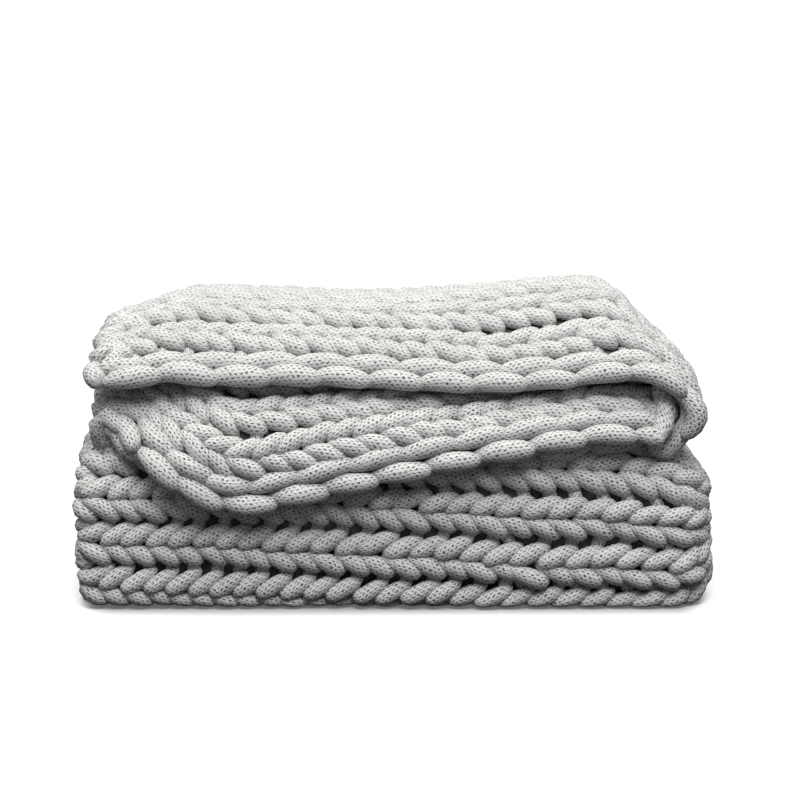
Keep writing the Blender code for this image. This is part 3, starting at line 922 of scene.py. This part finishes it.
class BLANKET_OT_chain(bpy.types.Operator):
    """Chains the front edge: a row of links inside it, a fuller one round it and a core below them"""
    bl_idname = "blanket.edge_chain"
    bl_label = "Edge Chain"

    def execute(self, context):
        scene = context.scene
        rng = np.random.default_rng(scene.blanket_yarn.seed + 4)
        runs = np.linspace(0.0, TOTAL_RUN, 1500)
        along, lean, square = surface_steps(runs, 0.008, 0.010, 0.012)
        path = folded(runs, 0.010, 0.0)
        count = np.concatenate([[0.0], np.cumsum(np.linalg.norm(np.diff(path, axis=0), axis=-1))])
        count /= scene.blanket_edge.link_length

        def strand(run, across, height, fullness):
            flat = across / np.interp(run, runs, square)
            run = run - np.interp(run, runs, lean) * flat / np.interp(run, runs, along)
            centre, outward = laid(run, flat, height)
            return centre, fullness, outward

        q = np.array(LINK_SHARES)[None, :]
        inward, onward = np.clip(-q, 0.0, 1.0), np.clip(q, 0.0, 1.0)
        links = []
        for row in LINK_ROWS:
            places = np.interp(np.arange(row.phase, count[-1], 1.0), count, runs)
            places = (places + rng.normal(0.0, 0.001, places.size))[:, None]
            size = 1.0 + rng.normal(0.0, 0.04, places.shape)
            run = places + row.half_length * size * q / np.interp(places, runs, along)
            thin = (1.0 - row.left.thinning * inward ** 1.3) * (1.0 - row.right.thinning * onward ** 1.3)
            rounded = 1.0 - inward ** row.left.bluntness - onward ** row.right.bluntness
            full = row.fullness * size * thin * np.sqrt(np.clip(rounded, 0.0, 1.0))
            height = row.lift - row.left.dive * inward ** 2 - row.right.dive * onward ** 2
            links.append(strand(run, row.across + 0.5 * row.slant * q, height, full))
        skin_paths("edge_chain", links, 14, scene.blanket_yarn)

        run = np.linspace(0.0, TOTAL_RUN, 300)[None, :]
        fold = (RUN_MARKS["under face"][1] + RUN_MARKS["lip"][0]) / 2
        beside = fade(np.maximum(np.abs(run - fold - 0.008) - 0.030, 0.0), 0.025)
        ends = np.sqrt(np.clip(np.minimum(run, TOTAL_RUN - run) / 0.005, 0.0, 1.0))
        across, height, full = (plain + more * beside for plain, more in zip(CORE, CORE_BESIDE_LIP))
        skin_paths("edge_core", [strand(run, across, height, full * ends)], 10, scene.blanket_yarn)
        return {"FINISHED"}


class BLANKET_OT_ground(bpy.types.Operator):
    """Lays the thin ground of the cloth, which closes the gaps between the stitches"""
    bl_idname = "blanket.ground"
    bl_label = "Ground Cloth"

    columns: IntProperty(name="Columns", description="Divisions along the ribs", default=190, min=20, max=400)
    rows: IntProperty(name="Rows", description="Divisions across the ribs", default=110, min=20, max=400)

    def execute(self, context):
        run = np.linspace(0.0, TOTAL_RUN, self.columns)[:, None]
        flat = np.linspace(GROUND_MARGINS[0], FLAT_LENGTH - GROUND_MARGINS[1], self.rows)[None, :]
        points = np.concatenate([folded(run, flat, lift).reshape(-1, 3) for lift in GROUND_FACES])
        top, under = np.arange(2 * self.columns * self.rows).reshape(2, self.columns, self.rows)

        def quads(*corners):
            return np.stack(corners, axis=-1).reshape(-1, 4)

        faces = np.concatenate([
            quads(top[:-1, :-1], top[1:, :-1], top[1:, 1:], top[:-1, 1:]),
            quads(under[:-1, :-1], under[:-1, 1:], under[1:, 1:], under[1:, :-1]),
            *(quads(top[:-1, r], under[:-1, r], under[1:, r], top[1:, r]) for r in (0, -1)),
            *(quads(top[c, :-1], top[c, 1:], under[c, 1:], under[c, :-1]) for c in (0, -1))])
        mesh = bpy.data.meshes.new("ground_cloth")
        mesh.from_pydata(points.tolist(), [], faces.tolist())
        # the ground's material is painted dark: it stands for the shade in the gaps between the stitches
        mesh.materials.append(ground_material(context.scene.blanket_yarn))
        ground = finish_piece("ground_cloth", mesh)
        return {"FINISHED"}


class BLANKET_OT_stage(bpy.types.Operator):
    """Sets the pale floor, the soft studio lights and the camera"""
    bl_idname = "blanket.stage"
    bl_label = "Stage"

    def execute(self, context):
        scene = context.scene
        stage = scene.blanket_stage
        mesh = bpy.data.meshes.new("floor")
        corners = [(FLOOR_RADIUS * math.cos(turn), FLOOR_RADIUS * math.sin(turn), -0.0005)
                   for turn in np.linspace(0.0, 2 * math.pi, FLOOR_CORNERS, endpoint=False)]
        mesh.from_pydata(corners, [], [tuple(range(FLOOR_CORNERS))])
        mesh.materials.append(floor_material(stage))
        link_object("floor", mesh)

        world = bpy.data.worlds.new("studio")
        world.use_nodes = True
        build = TreeBuilder(world.node_tree)
        backdrop = build.node("ShaderNodeBackground", {"Color": (1.0, 1.0, 1.0, 1.0), "Strength": 1.05})
        surroundings = world.node_tree.nodes["Background"]
        surroundings.inputs["Color"].default_value = (0.89, 0.94, 1.0, 1.0)
        surroundings.inputs["Strength"].default_value = stage.surroundings
        seen_or_bounced(build, surroundings.outputs[0], backdrop.outputs[0], "World Output")
        scene.world = world
        scene.view_settings.view_transform = "Standard"

        for name, place, aim, width, depth, power, tint in (
                ("overhead", (-0.1, -0.70, 2.2), (0.0, 0.0, 0.1), 2.4, 2.0, 68.0, (1.0, 0.975, 0.93)),
                ("front", (0.2, -2.0, 2.2), (0.0, 0.0, 0.2), 1.4, 1.0, 47.0, (0.90, 0.94, 1.0))):
            data = bpy.data.lights.new(name, "AREA")
            data.shape = "RECTANGLE"
            data.size, data.size_y = width, depth
            data.energy = power
            data.color = tint
            lamp = link_object(name, data)
            lamp.location = place
            lamp.rotation_euler = (Vector(aim) - Vector(place)).to_track_quat("-Z", "Y").to_euler()

        data = bpy.data.cameras.new("camera")
        data.sensor_width = 36.0
        data.lens = stage.lens
        data.clip_start, data.clip_end = 0.05, 60.0
        camera = link_object("camera", data)
        camera.location = (-STACK_CENTRE[0], -stage.camera_distance, stage.camera_height)
        camera.rotation_euler = (math.pi / 2 - stage.camera_tilt, 0.0, 0.0)
        scene.camera = camera
        return {"FINISHED"}


OPERATORS = (BLANKET_OT_top, BLANKET_OT_front, BLANKET_OT_lip, BLANKET_OT_bars, BLANKET_OT_chain,
             BLANKET_OT_ground, BLANKET_OT_stage)
SETTINGS = (("blanket_yarn", BLANKET_PG_yarn), ("blanket_stitches", BLANKET_PG_stitches),
            ("blanket_edge", BLANKET_PG_edge), ("blanket_stage", BLANKET_PG_stage))


class BLANKET_PT_panel(bpy.types.Panel):
    bl_idname = "BLANKET_PT_panel"
    bl_label = "Chunky Knit Blanket"
    bl_space_type = "VIEW_3D"
    bl_region_type = "UI"
    bl_category = "Blanket"

    def draw(self, context):
        for name, group in SETTINGS:
            box = self.layout.box()
            for prop in group.__annotations__:
                box.prop(getattr(context.scene, name), prop)
        for operator in OPERATORS:
            self.layout.operator(operator.bl_idname)


def register():
    for name, group in SETTINGS:
        bpy.utils.register_class(group)
        setattr(bpy.types.Scene, name, PointerProperty(type=group))
    for operator in OPERATORS:
        bpy.utils.register_class(operator)
    bpy.utils.register_class(BLANKET_PT_panel)


def unregister():
    bpy.utils.unregister_class(BLANKET_PT_panel)
    for operator in reversed(OPERATORS):
        bpy.utils.unregister_class(operator)
    for name, group in reversed(SETTINGS):
        delattr(bpy.types.Scene, name)
        bpy.utils.unregister_class(group)


def main():
    register()
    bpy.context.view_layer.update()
    bpy.ops.blanket.top_stitches()
    bpy.ops.blanket.front_stitches()
    bpy.ops.blanket.lip_stitches()
    bpy.ops.blanket.bars()
    bpy.ops.blanket.edge_chain()
    bpy.ops.blanket.ground()
    bpy.ops.blanket.stage()


if __name__ == "__main__":
    main()
